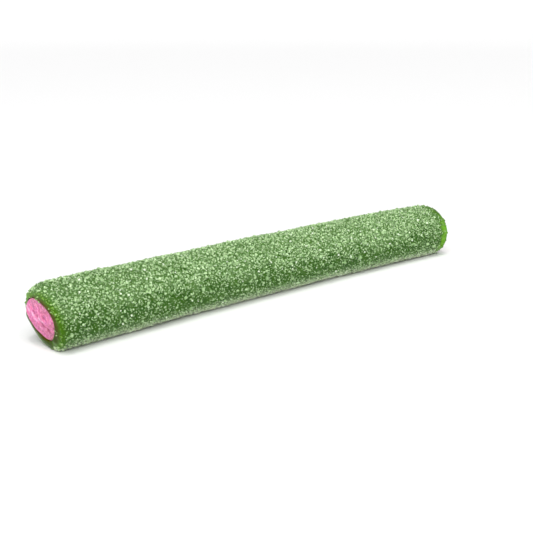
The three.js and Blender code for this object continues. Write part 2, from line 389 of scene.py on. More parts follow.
# Meshes from arrays


def grid_faces(rows, columns, closed=False):
    """Quads over a grid of rows by columns that closes round its columns, and if it is
    closed also round its rows."""
    row, column = np.mgrid[0 : rows if closed else rows - 1, 0:columns]
    above, beside = (row + 1) % rows, (column + 1) % columns
    corners = [(row, column), (row, beside), (above, beside), (above, column)]
    return np.stack([r * columns + c for r, c in corners], axis=-1).reshape(-1, 4)


def capped_faces(rows, columns):
    """Quads over rows of columns that close round, and the fans at a pole at each end.

    The first pole comes before the grid's points and the last after them."""
    around = np.arange(columns)
    beside = (around + 1) % columns
    last_row = 1 + (rows - 1) * columns
    first_fan = [0 * around, 1 + beside, 1 + around]
    last_fan = [0 * around + last_row + columns, last_row + around, last_row + beside]
    fans = np.concatenate([first_fan, last_fan], axis=1).T
    return [1 + grid_faces(rows, columns), fans]


def make_piece(name, shape, finish, smooth=True):
    """A mesh object with its finish. Its shape is its points, its groups of faces and the
    measures that the finish reads, one number for each point."""
    points, face_groups, measures = shape
    mesh = bpy.data.meshes.new(name)
    corners = np.concatenate([group.ravel() for group in face_groups])
    sizes = np.concatenate([np.full(len(group), group.shape[1]) for group in face_groups])
    starts = np.concatenate([[0], np.cumsum(sizes)[:-1]])
    mesh.vertices.add(len(points))
    mesh.vertices.foreach_set("co", np.asarray(points, np.float32).ravel())
    mesh.loops.add(len(corners))
    mesh.loops.foreach_set("vertex_index", corners.astype(np.int32))
    mesh.polygons.add(len(sizes))
    mesh.polygons.foreach_set("loop_start", starts.astype(np.int32))
    mesh.polygons.foreach_set("use_smooth", np.full(len(sizes), smooth))
    mesh.update(calc_edges=True)
    for measure, values in measures.items():
        attribute = mesh.attributes.new(measure, "FLOAT", "POINT")
        attribute.data.foreach_set("value", np.asarray(values, np.float32))
    if mesh.validate():
        raise RuntimeError(f"{name} has faulty faces")
    mesh.materials.append(finish)
    piece = bpy.data.objects.new(name, mesh)
    bpy.context.scene.collection.objects.link(piece)
    return piece


def ride_and_stand_for(piece, node=None):
    """The piece moves with the object's one body, and may stand for one of its solids."""
    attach(piece, BODY)
    if node:
        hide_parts(node)


# Shader nodes


# A Mix node's sockets for two colours and their mix, after those for numbers and vectors
FIRST_COLOUR = 6
SECOND_COLOUR = 7
MIXED_COLOUR = 2


class Wire:
    """The output of a node, which takes part in arithmetic by adding Math nodes."""

    def __init__(self, finish, socket):
        self.finish = finish
        self.socket = socket

    def math(self, operation, first, second):
        return self.finish.add("ShaderNodeMath", {"operation": operation}, {0: first, 1: second})

    def __add__(self, other):
        return self.math("ADD", self, other)

    def __sub__(self, other):
        return self.math("SUBTRACT", self, other)

    def __rsub__(self, other):
        return self.math("SUBTRACT", other, self)

    def __mul__(self, other):
        return self.math("MULTIPLY", self, other)

    __radd__ = __add__
    __rmul__ = __mul__


class Finish:
    """The nodes of one material, all of which are added by one method."""

    def __init__(self, name):
        self.material = bpy.data.materials.new(name)
        self.material.use_nodes = True
        self.tree = self.material.node_tree
        self.tree.nodes.clear()
        # The point of the surface, in the object's own metres
        self.place = self.add("ShaderNodeTexCoord", output="Object")

    def add(self, kind, settings=None, values=None, output=0):
        """Adds a node, makes its settings, then gives its sockets values or wires."""
        node = self.tree.nodes.new(kind)
        for setting, value in (settings or {}).items():
            setattr(node, setting, value)
        for socket, value in (values or {}).items():
            if isinstance(value, Wire):
                self.tree.links.new(value.socket, node.inputs[socket])
            else:
                node.inputs[socket].default_value = value
        return Wire(self, node.outputs[output]) if node.outputs else None

    def measure(self, name, share=1):
        """A number that the mesh holds for each point, times a share."""
        settings = {"attribute_type": "GEOMETRY", "attribute_name": name}
        number = self.add("ShaderNodeAttribute", settings, output="Fac")
        return number if share == 1 else number * share

    def noise(self, size, detail=2, roughness=0.5, place=None):
        """Soft noise from 0 to 1 with blotches of about the given size."""
        values = {"Scale": 1 / size, "Detail": detail, "Roughness": roughness}
        values["Vector"] = place or self.place
        return self.add("ShaderNodeTexNoise", None, values)

    def level(self, value, low, high):
        """Stretches low..high of a value to 0..1, smoothly."""
        settings = {"interpolation_type": "SMOOTHSTEP"}
        values = {"Value": value, "From Min": low, "From Max": high}
        return self.add("ShaderNodeMapRange", settings, values)

    def blend(self, share, first, second, mode="MIX"):
        """Mixes two colours, each a wire or three numbers, by a share."""
        first, second = (
            colour if isinstance(colour, Wire) else (*colour, 1) for colour in (first, second)
        )
        settings = {"data_type": "RGBA", "blend_type": mode}
        values = {"Factor": share, FIRST_COLOUR: first, SECOND_COLOUR: second}
        return self.add("ShaderNodeMix", settings, values, output=MIXED_COLOUR)

    def layers(self, colour, *layers):
        """Lays colours over the first one in turn, each by its share."""
        for share, layer in layers:
            colour = self.blend(share, colour, layer)
        return colour

    def bump(self, height, depth, normal=None):
        """A normal tilted by a height that runs from 0 to 1 over the given depth."""
        values = {"Height": height, "Distance": depth, "Strength": 1.0}
        if normal:
            values["Normal"] = normal
        return self.add("ShaderNodeBump", None, values)

    def close(self, values):
        """Ends the nodes in a Principled surface with these values, and returns the material."""
        surface = self.add("ShaderNodeBsdfPrincipled", None, values)
        self.add("ShaderNodeOutputMaterial", None, {"Surface": surface})
        return self.material


# Finishes


MOTTLE_DARK = (0.72, 0.72, 0.72)
MOTTLE_PALE = (1.0, 1.0, 1.0)
STREAK_TURN = -0.569
STREAK_LENGTH = 1.7
# Grains with tones this high turn white: painted glints
WHITEST_GLINT = (0.98, 0.99)
FLOOR_MOTTLE = 0.15
FLOOR_DARKER = 0.92


def jelly_finish(colours):
    """Green jelly: dark under the sugar, paler under fine powder, with a painted sheen on the
    top of the bare cut ring and painted shade where the very top has less powder, paler low
    down where bounce light is painted as crushed sugar, yellower beside a cut, lime where
    light shines through an edge, and brown with painted shade where it meets the core,
    darkest in the painted shade of a gap, with soft blotches and a sheen."""
    finish = Finish("green_jelly")
    blotch = finish.level(finish.noise(size=1.9 * MM, detail=3), low=0.35, high=0.65)
    mottle = finish.noise(size=0.42 * MM, detail=3, roughness=0.6)
    grain = finish.noise(size=0.16 * MM)
    # The cut ring, brown beside the core: partly its own colour, partly painted shade
    ring = finish.blend(finish.measure("seam"), colours.jelly_cut, colours.jelly_seam_stain_and_shade)
    colour = finish.layers(
        colours.jelly,
        (blotch * 0.35, colours.jelly_edge),
        (finish.measure("edge", share=0.85), colours.jelly_edge),
        (finish.measure("cut"), ring),
        # Powder, with a painted sheen on the cut ring's top and less on the very top as painted
        # shade
        (finish.measure("dusted", share=0.6), colours.jelly_dust_and_sheen),
        # Painted bounce light low down, and the painted sheen of the wiped edge
        (finish.measure("frost", share=0.65), colours.jelly_painted_light),
        (finish.measure("lime") * (0.5 + 0.5 * blotch), colours.jelly_lime),
        # Painted shade in the crevice beside the core
        (finish.measure("gap", share=0.9), colours.jelly_gap_shade),
    )
    shade = finish.blend(mottle, MOTTLE_DARK, MOTTLE_PALE)
    return finish.close({
        "Base Color": finish.blend(1.0, colour, shade, "MULTIPLY"),
        "Roughness": finish.level(mottle, low=0.2, high=0.9) * 0.25 + 0.35,
        "Normal": finish.bump(grain, depth=0.03 * MM),
        "Specular IOR Level": 0.05,
        "Subsurface Weight": 0.35,
        "Subsurface Radius": (0.35, 1.0, 0.12),
        "Subsurface Scale": 0.9 * MM,
    })


def fondant_finish(colours):
    """Pink fondant: painted highlights on the ridges of the blade's marks and on raised specks
    and painted shade in their grooves, glossy places with painted highlights, a painted
    sheen, painted shade in the pits and in dull places, more purple patches towards the top
    and the bottom, and a peach rim on one side."""
    finish = Finish("pink_fondant")
    turn = {"Rotation": (STREAK_TURN, 0, 0), "Scale": (1.0, 1.0, STREAK_LENGTH)}
    values = {"Vector": finish.place, **turn}
    along = finish.add("ShaderNodeMapping", {"vector_type": "TEXTURE"}, values)
    streak = finish.noise(size=0.25 * MM, detail=3, roughness=0.65, place=along)
    patch = finish.noise(size=0.8 * MM)
    speck = finish.noise(size=0.22 * MM)
    glint = finish.measure("glint") * (finish.level(speck, low=0.30, high=0.55) * 0.5 + 0.5)
    purple = finish.level(patch + finish.measure("ends", share=0.12), low=0.48, high=0.63)
    colour = finish.layers(
        colours.fondant,
        (purple * 0.85, colours.fondant_purple),
        # A painted sheen
        (finish.measure("sheen", share=0.12), colours.fondant_glint),
        # Painted shade
        (finish.measure("shade", share=0.75), colours.fondant_shade),
        # Painted highlights on the ridges and painted shade in the grooves, where the bump rises
        # and falls
        (finish.level(streak, low=0.50, high=0.66) * 0.75, colours.fondant_highlight),
        (finish.level(streak, low=0.46, high=0.30) * 0.65, colours.fondant_hollow_shade),
        # Painted highlights on the raised specks
        (finish.level(speck, low=0.58, high=0.7) * 0.6, colours.fondant_highlight),
        # Painted highlights on the glossy places
        (glint, colours.fondant_glint),
        # Painted shade in the pits
        (finish.measure("pit", share=0.9), colours.fondant_hollow_shade),
        (finish.measure("rim", share=0.8), colours.fondant_rim),
    )
    streaks = finish.bump(streak, depth=0.09 * MM)
    return finish.close({
        "Base Color": colour,
        "Roughness": 0.55 - glint * 0.3,
        "Normal": finish.bump(speck, depth=0.06 * MM, normal=streaks),
        "Subsurface Weight": 0.2,
        "Subsurface Radius": (1.0, 0.35, 0.45),
        "Subsurface Scale": 0.35 * MM,
    })


def sugar_finish(colours, name):
    """Sugar grains: clear ones that show the jelly and pale ones that catch the light, as
    each grain's own tone says, paler low down where bounce light is painted as crushed
    sugar, greener beside a cut and a few of them white at random as painted glints, with
    faint clouding and glossy faces."""
    finish = Finish(name)
    tone = finish.measure("tone")
    edge = finish.measure("edge")
    cloud = finish.noise(size=0.25 * MM)
    scratch = finish.noise(size=0.07 * MM)
    clear = finish.blend(edge, colours.sugar_clear, colours.edge_clear)
    pale = finish.blend(edge, colours.sugar_pale, colours.edge_pale)
    white = finish.level(tone, *WHITEST_GLINT) * (1 - edge * 0.8)
    colour = finish.layers(
        clear,
        (tone * (cloud * 0.5 + 0.75), pale),
        # Painted bounce light low down
        (finish.measure("frost", share=0.52), colours.sugar_frost),
        (white, colours.sugar_white),
    )
    return finish.close({
        "Base Color": colour,
        "Roughness": cloud * 0.2 + 0.1,
        "Normal": finish.bump(scratch, depth=0.006 * MM),
        "IOR": 1.54,
        "Specular Tint": (0.85, 1.0, 0.78, 1.0),
        "Subsurface Weight": 0.2,
        "Subsurface Radius": (0.7, 1.0, 0.5),
        "Subsurface Scale": 0.4 * MM,
    })


def floor_finish(colour):
    """A plain pale matt floor with the faintest mottling."""
    finish = Finish("pale_floor")
    mottle = finish.noise(size=FLOOR_MOTTLE, detail=3)
    darker = [FLOOR_DARKER * level for level in colour]
    tint = finish.blend(mottle * 0.06, colour, darker)
    return finish.close({"Base Color": tint, "Roughness": 0.75, "Specular IOR Level": 0.0})


# The jelly tube


COAT_STEPS = 420
ROUND_STEPS = 14
RING_STEPS = 5
BORE_STEPS = 24
JELLY_AROUND = 132
BORE_MARGIN = 0.02 * MM
LEAST_HEIGHT = 0.03 * MM
HIGHEST_BUMP = 0.1 * MM
# Ripples have their wavelength, seed and height
DENTS = ((0.7 * MM, 3, 0.035 * MM), (0.35 * MM, 4, 0.02 * MM))
RING_RIPPLES = (2.2 * MM, 5, 0.04 * MM)


def jelly_profile(form):
    """The closed outline of the tube's wall, as places along the stick and radii: the
    near ring, a quarter circle, the coat, a quarter circle, the far ring and the bore."""
    half, knee = form.length / 2, form.plain_round
    edge_radius = form.coat_radius - knee
    ring = np.linspace(form.core_radius, edge_radius, RING_STEPS + 1)[:-1]
    turn = np.linspace(pi / 2, 0, ROUND_STEPS + 1)
    from_cut = np.concatenate([np.zeros_like(ring), knee * (1 - np.sin(turn))])
    radius = np.concatenate([ring, edge_radius + knee * np.cos(turn)])
    coat = np.linspace(knee - half, half - knee, COAT_STEPS + 1)[1:-1]
    x, radius = both_ends(from_cut, radius, coat, form)
    bore = np.linspace(half, -half, BORE_STEPS + 1)[1:-1]
    bore_radius = np.full_like(bore, form.core_radius)
    return np.concatenate([x, bore]), np.concatenate([radius, bore_radius])


def jelly_tube(form, offset):
    """The tube, turned from its outline and settled, with its skin sunk below the tops of
    the sugar and rippled where the grains press into it."""
    outline = jelly_profile(form)
    x, radius, angle = turn_round(*outline, JELLY_AROUND)
    outer = radius > form.core_radius + BORE_MARGIN
    covered, clear = sugar_cover(x, radius, angle, form)
    under_sugar = np.where(outer, covered, 0)
    points = settle(x, radius, angle, form)
    dent = sum(ripples(points, *dents) for dents in DENTS)
    sink = under_sugar * (form.jelly_sink + np.maximum(dent, -HIGHEST_BUMP))
    from_cut = np.minimum((form.length / 2 - np.abs(x)) / form.plain_round, 1)
    waver = ripples(points, *RING_RIPPLES) * (1 - under_sugar)
    points = settle(x, radius - sink * np.where(outer, from_cut, 0), angle, form) + offset
    pushed = np.where(outer, waver + sink * (1 - from_cut), 0)
    points[:, 0] -= pushed * np.sign(x)
    points[:, 2] = np.maximum(points[:, 2], LEAST_HEIGHT)
    measures = jelly_measures(points, x, radius, angle, under_sugar, clear, form)
    measures["edge"] = np.where(outer, clear, 1.0)
    return points, [grid_faces(len(outline[0]), JELLY_AROUND, closed=True)], measures


# Each stain, brown with painted shade, has its middle and spread as angles, and its width
SEAM_STAINS_AND_SHADE = (
    (2.45, 1.1, 1.45 * MM),
    (-1.02, 0.7, 0.25 * MM),
    (1.5, 0.7, 0.95 * MM),
)
# Painted shade in the crevice between core and jelly, at the near cut
GAP_SHADES = ((1.14, 0.42, 0.75 * MM),)
STAIN_AND_SHADE_FADES_FROM = 0.2
POWDER_RIPPLES = (3.2 * MM, 6, 0.3)
# Smooth steps of the height round the stick or of the distance from the core
POWDER_LIES = (-0.2, 0.8)
# Less powder on the very top, which makes it darker: painted shade
POWDER_THINNED_FOR_TOP_SHADE = (0.6, 1.0, 0.4)
POWDER_CLINGS = (0.0, 0.5, 0.25)
# Painted sheen of light from above on the top of the bare cut ring
TOP_SHEEN_TURN = 0.35
TOP_SHEEN_UPPER = (0.2, 1.0, 0.6)
TOP_SHEEN_RING = (0.2 * MM, 1.2 * MM)
FAR_GLOW_UPPER = (0.3, 0.9)
FAR_GLOW_SIDE = (-0.4, 0.6, 0.5)
NEAR_GLOW = {"ring": (0.3 * MM, 0.9 * MM, 0.6), "where": (0.95, 0.5)}
WIPED_SHEEN = {"ring": (0.2 * MM, 0.9 * MM, 1.5), "where": (-0.7, 1.1)}


def stain_and_shade_at(from_core, angle, stains):
    """How strongly brown stains and painted shade lie beside the core, from 0 to 1: each
    fades with a smooth step outwards and with a bell curve to both sides."""
    depths = [
        about(angle, middle, spread) * (1 - rise(from_core, STAIN_AND_SHADE_FADES_FROM * width, width))
        for middle, spread, width in stains
    ]
    return np.max(depths, axis=0)


def ring_light(from_core, angle, light):
    """How bright a ring is: a smooth step out from the core and a bell curve round it."""
    return rise(from_core, *light["ring"]) * about(angle, *light["where"])


def jelly_measures(points, x, radius, angle, under_sugar, clear, form):
    """What the jelly's finish reads at each point, as smooth steps of the height round the
    stick and of the distance from the core: brown stains with painted shade and the painted
    shade of gaps beside the core, the bare cut, powder on top with a painted sheen on the
    cut ring's top and painted shade on the very top, painted bounce light below, the
    painted sheen of the wiped edge, and the lime light at both edges."""
    up = np.sin(angle)
    from_core = radius - form.core_radius
    powder = up + ripples(points, *POWDER_RIPPLES)
    dusted = rise(powder, *POWDER_LIES) * (1 - rise(powder, *POWDER_THINNED_FOR_TOP_SHADE))
    dusted = dusted + rise(-powder, *POWDER_CLINGS)
    painted_top_sheen = rise(np.sin(angle + TOP_SHEEN_TURN), *TOP_SHEEN_UPPER) * rise(from_core, *TOP_SHEEN_RING)
    painted_top_sheen = painted_top_sheen * np.maximum(1 - under_sugar, clear)
    far_glow = clear * rise(x, 0, form.length / 2) * (1 - rise(up, *FAR_GLOW_UPPER))
    far_glow = far_glow * (1 - rise(np.cos(angle), *FAR_GLOW_SIDE))
    bare_near = (x < 0) * (1 - under_sugar)
    sheen = bare_near * ring_light(from_core, angle, WIPED_SHEEN)
    return {
        "seam": stain_and_shade_at(from_core, angle, SEAM_STAINS_AND_SHADE),
        "gap": stain_and_shade_at(from_core, angle, GAP_SHADES) * (x < 0),
        "cut": 1 - under_sugar,
        "dusted": dusted * under_sugar * (1 - clear) + painted_top_sheen,
        # Painted bounce light below, and the painted sheen of the wiped edge
        "frost": painted_light_below_at(x, angle, clear, form) * under_sugar + sheen,
        "lime": far_glow + bare_near * ring_light(from_core, angle, NEAR_GLOW),
    }


# The fondant core


FACE_RINGS = 44
CORE_AROUND = 240
CORE_SIDE_STEPS = 40
CORE_RIM_STEPS = 5
CORE_RIM_ROUND = 0.14 * MM
FURROW_DEPTH = 0.07 * MM
FURROW_PITCH = 1.9 * MM
FURROW_SLANT = -0.64
MARK_STRETCH = 1.4
MARKS_END = (0.88, 1.0)
GLINT_HEIGHT = 0.05 * MM
PIT_DEPTH = 0.15 * MM
FACE_DEPTH = 0.6 * MM
CORE_RIM = (0.82, 0.98)
CORE_ENDS = (0.35, 0.9)
PEACH_RIM = (-1.1, 1.0)
# Scratches and lumps have their size over the furrows as a share of that along them, their
# wavelength and their height
FACE_RELIEF = ((0.2, 0.30 * MM, 0.03 * MM), (0.6, 0.8 * MM, 0.04 * MM))
# Each mark has its place across and up and its radius, in millimetres. Pits and shades carry
# painted shade, glints painted highlights and sheens a painted sheen
NEAR_FACE = {
    "seed": 21,
    "pits": ((-0.78, -0.92, 0.36), (-1.66, -1.68, 0.36), (0.27, -0.76, 0.2), (0.59, 1.33, 0.2),
             (0.02, 0.64, 0.17), (-1.5, 0.6, 0.2), (0.9, -1.9, 0.17)),
    "glints": ((2.25, 1.32, 0.30), (0.96, 0.70, 0.28), (0.44, -0.08, 0.24), (-0.48, 0.12, 0.28),
               (-1.21, -0.21, 0.22), (-0.14, -1.43, 0.2), (2.9, 1.9, 0.26)),
    "shades": ((0.2, 3.3, 1.1), (-1.9, 2.6, 1.3), (-1.9, -2.7, 1.3), (0.3, -1.7, 0.6),
               (-3.0, -1.0, 0.8)),
    "sheens": ((2.9, 1.5, 1.1), (0.5, 0.4, 0.8)),
}
FAR_FACE = {
    "seed": 31,
    "pits": ((0.6, 0.8, 0.2), (-1.2, -0.5, 0.17), (1.6, -1.5, 0.15)),
    "glints": ((-0.9, 0.6, 0.3), (0.4, -0.7, 0.24), (1.7, 0.9, 0.2)),
    "shades": ((0.4, 3.2, 1.1), (1.2, -2.8, 1.1)),
    "sheens": ((-2.4, 1.2, 1.0),),
}
SOLID_FACE_RINGS = 5
SOLID_SIDE_STEPS = 6
SOLID_AROUND = 30


def core_profile(form):
    """The outline that is turned round the axis: out over the near face, round its rim,
    along the side, round the far rim and in over the far face, without the two middles."""
    half = form.length / 2
    radius = form.core_radius - form.fit_gap
    face = np.linspace(0, radius - CORE_RIM_ROUND, FACE_RINGS + 1)[1:]
    turn = np.linspace(0, pi / 2, CORE_RIM_STEPS + 1)[1:]
    rim = radius - CORE_RIM_ROUND * (1 - np.sin(turn))
    from_cut = np.concatenate([np.zeros_like(face), CORE_RIM_ROUND * (1 - np.cos(turn))])
    side = np.linspace(CORE_RIM_ROUND - half, half - CORE_RIM_ROUND, CORE_SIDE_STEPS + 1)
    return both_ends(from_cut, np.concatenate([face, rim]), side[1:-1], form)


def face_form(x, radius, angle, form):
    """How far the core's cut faces stand out beyond the turned rod's: a shallow dome with
    the furrows of the blade, dropped at its rim, and at the near cut squeezed out on the
    +Y side and at the top."""
    across, up = radius * np.cos(angle), radius * np.sin(angle)
    share = radius / form.core_radius
    furrow = np.sin(2 * pi * (across + FURROW_SLANT * up) / FURROW_PITCH)
    dome = (np.where(x < 0, *form.core_dome) + FURROW_DEPTH * furrow) * (1 - share**2)
    drop = np.where(x < 0, *form.core_rim_drop)
    squeezed = (form.core_squeeze[0] * across + form.core_squeeze[1] * up) / form.core_radius
    return dome + np.where(x < 0, squeezed, 0) - drop


def along_furrows(across, up):
    """Places on a cut face measured over the furrows and along them."""
    norm = sqrt(1 + FURROW_SLANT**2)
    return (across + FURROW_SLANT * up) / norm, (up - FURROW_SLANT * across) / norm


def marks_at(over, along, marks):
    """How deep in the nearest mark points are, from 0 to 1: a bell curve round each mark's
    middle, drawn out along the furrows."""
    mark_across, mark_up, size = np.array(marks).T * MM
    mark_over, mark_along = along_furrows(mark_across, mark_up)
    from_over = over[:, None] - mark_over
    from_along = (along[:, None] - mark_along) / MARK_STRETCH
    return np.exp(-(np.hypot(from_over, from_along) / size) ** 2).max(axis=1)


def face_marks(across, up, form, face):
    """Fine relief of a cut face: scratches along the furrows, lumps, pits and the proud,
    glossy places. Returns it with the shares of pit, gloss, shade and sheen at each point:
    painted shade in the pits, painted highlights on the glossy places, painted shade and a
    painted sheen."""
    over, along = along_furrows(across, up)
    flat = np.zeros_like(over)
    inside = 1 - rise(np.hypot(across, up) / form.core_radius, *MARKS_END)
    relief = sum(
        ripples(np.stack([over, along * share, flat], axis=-1), wavelength, seed, height)
        for seed, (share, wavelength, height) in enumerate(FACE_RELIEF, face["seed"])
    )
    pit, glint, shade, sheen = (
        marks_at(over, along, face[kind]) for kind in ("pits", "glints", "shades", "sheens")
    )
    pit, glint = pit * inside, glint * inside
    return relief * inside + GLINT_HEIGHT * glint - PIT_DEPTH * pit, pit, glint, shade, sheen


def fondant_core(form, offset):
    """The core, turned from its outline and settled, with its two cut faces in relief."""
    outline = core_profile(form)
    half = form.length / 2
    x, radius, angle = turn_round(*outline, CORE_AROUND)
    x = np.pad(x, 1, constant_values=(-half, half))
    radius, angle = np.pad(radius, 1), np.pad(angle, 1)
    across, up = radius * np.cos(angle), radius * np.sin(angle)
    near_marks, far_marks = (face_marks(across, up, form, face) for face in (NEAR_FACE, FAR_FACE))
    marks, pit, glint, shade, sheen = np.where(x < 0, near_marks, far_marks)
    on_face = 1 - rise(half - np.abs(x), 0, FACE_DEPTH)
    points = settle(x, radius, angle, form) + offset
    points[:, 0] += np.sign(x) * (face_form(x, radius, angle, form) + marks) * on_face
    measures = {
        "pit": pit * on_face,
        "glint": glint * on_face,
        "shade": shade,
        "sheen": sheen,
        "rim": rise(radius / form.core_radius, *CORE_RIM) * about(angle, *PEACH_RIM),
        "ends": rise(np.abs(up) / form.core_radius, *CORE_ENDS),
    }
    return points, capped_faces(len(outline[0]), CORE_AROUND), measures


def frame_offset(form):
    """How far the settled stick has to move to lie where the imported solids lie: the core's
    facets are worked out as in its solid, and their box is set on the solid's box."""
    half = form.length / 2
    face = np.linspace(0, form.core_radius - form.fit_gap, SOLID_FACE_RINGS + 1)
    side = np.linspace(form.plain_round - half, half - form.plain_round, SOLID_SIDE_STEPS + 1)
    outline = both_ends(np.zeros_like(face), face, side, form)
    x, radius, angle = turn_round(*outline, SOLID_AROUND)
    points = settle(x, radius, angle, form)
    on_face = np.abs(x) >= half
    points[:, 0] += np.where(on_face, np.sign(x) * face_form(x, radius, angle, form), 0)
    low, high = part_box(CORE_NODE)
    middle = (np.array(low) + np.array(high)) / 2
    return (middle - (points.min(0) + points.max(0)) / 2) * (1, 1, 0)


# Sugar


def crystal_block(sides, levels, widths, squeeze=1.0):
    """A block as points and groups of faces: a polygon of so many sides, carried up through
    the levels with a width at each, squeezed one way, and closed by a polygon at each end.
    The sizes are shares of the block's whole height and width."""
    angle = (np.arange(sides) + 0.5) * 2 * pi / sides
    outline = np.stack([np.cos(angle), squeeze * np.sin(angle)], axis=-1) / 2
    rings = [
        np.column_stack([width * outline, np.full(sides, level)])
        for level, width in zip(levels, widths)
    ]
    foot = np.arange(sides)[::-1]
    top = np.arange(sides) + (len(levels) - 1) * sides
    return np.concatenate(rings), [grid_faces(len(levels), sides), np.stack([foot, top])]


DUST_BLOCK = crystal_block(3, (-0.5, 0.5), (1.2, 0.7))
FINE_BLOCK = crystal_block(4, (-0.5, 0.5), (1.4, 1.0))
MIDDLING_BLOCK = crystal_block(5, (-0.5, 0.5), (1.25, 0.85))
LARGE_BLOCK = crystal_block(6, (-0.5, 0.5), (1.15, 0.9), 0.8)
COARSE_BLOCK = crystal_block(8, (-0.5, -0.36, 0.36, 0.5), (0.8, 1.1, 1.1, 0.75))


def random_turns(draw, count):
    """Rotation matrices spread evenly over all turns, from random unit quaternions."""
    quaternions = draw.normal(size=(count, 4))
    w, x, y, z = (quaternions / np.linalg.norm(quaternions, axis=1)[:, None]).T
    rows = [
        [1 - 2 * (y * y + z * z), 2 * (x * y - z * w), 2 * (x * z + y * w)],
        [2 * (x * y + z * w), 1 - 2 * (x * x + z * z), 2 * (y * z - x * w)],
        [2 * (x * z - y * w), 2 * (y * z + x * w), 1 - 2 * (x * x + y * y)],
    ]
    return np.moveaxis(np.array(rows), 2, 0)


def axis_turns(axis, angle):
    """Rotation matrices about one axis: the angle's cosine and sine in the plane of the
    other two."""
    first, second = (axis + 1) % 3, (axis + 2) % 3
    turns = np.zeros((len(angle), 3, 3))
    turns[:, axis, axis] = 1
    turns[:, first, first] = turns[:, second, second] = np.cos(angle)
    turns[:, second, first] = np.sin(angle)
    turns[:, first, second] = -np.sin(angle)
    return turns


def spiral(count, reach, stray, form):
    """Places from -reach to reach and angles on a spiral of the golden angle, each strayed
    along and round by shares of the mean spacing."""
    pitch = 2 * reach / count
    spacing = sqrt(2 * pi * form.coat_radius * pitch)
    number = np.arange(count)
    along = (number + 0.5) * pitch - reach + stray[0] * spacing
    return along, number * GOLDEN_ANGLE + stray[1] * spacing / form.coat_radius


def skin_places(count, form, draw):
    """Places, radii and angles spread over the skin on a spiral, each strayed by up to half
    the mean spacing.

    The outline is walked from ring to ring: out over the ring, round a quarter circle,
    along the coat, round another and in over the other ring."""
    half, knee = form.length / 2, form.plain_round
    ring = form.coat_radius - knee - form.core_radius
    bend = knee * pi / 2
    walk_end = ring + bend + half - knee
    walk, angle = spiral(count, walk_end, draw.uniform(-0.5, 0.5, (2, count)), form)
    left = np.clip(walk_end - np.abs(walk), 0, None)
    turn = np.clip((left - ring) / bend, 0, 1) * pi / 2
    radius = form.core_radius + np.minimum(left, ring) + knee * np.sin(turn)
    from_cut = knee * (1 - np.cos(turn)) + np.maximum(left - ring - bend, 0)
    return np.sign(walk) * (half - from_cut), radius, angle, turn


def join_grains(block, places, sides, turns, measures, kept):
    """One mesh of the kept grains: each is the block stretched to its sides, turned and
    moved. A grain that would reach below the table is raised to lie on it."""
    corners, groups = block
    grains = np.einsum("nij,nvj->nvi", turns[kept], corners[None] * sides[kept][:, None])
    grains += places[kept][:, None]
    grains[..., 2] += np.maximum(-grains[..., 2].min(axis=1), 0)[:, None]
    count, each = grains.shape[:2]
    first = (np.arange(count) * each)[:, None, None]
    joined = [(faces[None] + first).reshape(-1, faces.shape[1]) for faces in groups]
    spread = {name: np.repeat(values[kept], each) for name, values in measures.items()}
    return grains.reshape(-1, 3), joined, spread


# Each kind has its block, the share of a grain that is sunk, the shares of the grains that are
# lost in the clear bands and low down, and its seed
GRAIN_KINDS = {
    "dust": (DUST_BLOCK, 0.30, 0.85, 0.35, 51),
    "fine": (FINE_BLOCK, 0.30, 0.8, 0.45, 61),
    "middling": (MIDDLING_BLOCK, 0.22, 0.5, 0.7, 71),
    "large": (LARGE_BLOCK, 0.10, 0.2, 0.75, 81),
}
GRAIN_SIDES = (0.5, 1.3)
SMALLER_COMMONER = 1.5
CROWDING = 0.9
CROWDING_WAVE = 2.4 * MM
CROWDING_HEIGHT = 0.1
LOW_DOWN = (-0.55, 0.2)
LOST_HIGH_UP = (0.55, 0.95, 0.2)
LEAST_COVER = 0.05
LEFT_ON_RING = (0.2 * MM, 1.6 * MM, 0.3)
# Grains above this tone stay white everywhere: painted glints
WHITE_GLINT_TONE = 0.98
# Share by which grains low down get darker tones: painted shade
PAINTED_SHADE_LOW_DOWN = 0.38
DULL_CLEAR = 0.45


def scattered_grains(name, coat, form):
    """Grains spread over the skin, small ones commoner than large ones. Some are knocked off
    beside the cuts, low down and at the top, and of the bare rings only the far one has a
    few."""
    block, sunk, lost_clear, lost_low, seed = GRAIN_KINDS[name]
    count, sizes = getattr(coat, f"{name}_count"), getattr(coat, f"{name}_size")
    draw = np.random.default_rng(seed)
    x, radius, angle, turn = skin_places(count, form, draw)
    covered, clear = sugar_cover(x, radius, angle, form)
    # Painted bounce light low down; more grains stay where it lies
    frost = painted_light_below_at(x, angle, clear, form)
    low_down = rise(-np.sin(angle), *LOW_DOWN) * (1 - np.minimum(frost, 1))
    waves = ripples(turned(x, radius, angle), CROWDING_WAVE, seed + 1, CROWDING_HEIGHT)
    share = (CROWDING + waves) * (1 - lost_low * low_down - rise(np.sin(angle), *LOST_HIGH_UP))
    share = share * covered * (1 - lost_clear * clear) * (covered > LEAST_COVER)
    left = rise(radius - form.core_radius, *LEFT_ON_RING) * (x > 0) * (1 - covered)
    kept = draw.uniform(size=count) < share + left
    size = between(sizes, draw.uniform(size=count) ** SMALLER_COMMONER)
    sides = size[:, None] * draw.uniform(*GRAIN_SIDES, (count, 3))
    turns = random_turns(draw, count)
    tones = draw.uniform(size=count)
    # Tones darker low down, as painted shade, and duller in the clear band
    dulled = tones * (1 - PAINTED_SHADE_LOW_DOWN * low_down) * (1 - DULL_CLEAR * clear)
    depth = form.jelly_sink - size * sunk
    places = settle(x, radius - depth * np.sin(turn), angle, form)
    places[:, 0] -= np.sign(x) * depth * np.cos(turn)
    measures = {"tone": np.where(tones > WHITE_GLINT_TONE, tones, dulled), "edge": clear, "frost": frost}
    return join_grains(block, places, sides, turns, measures, kept)


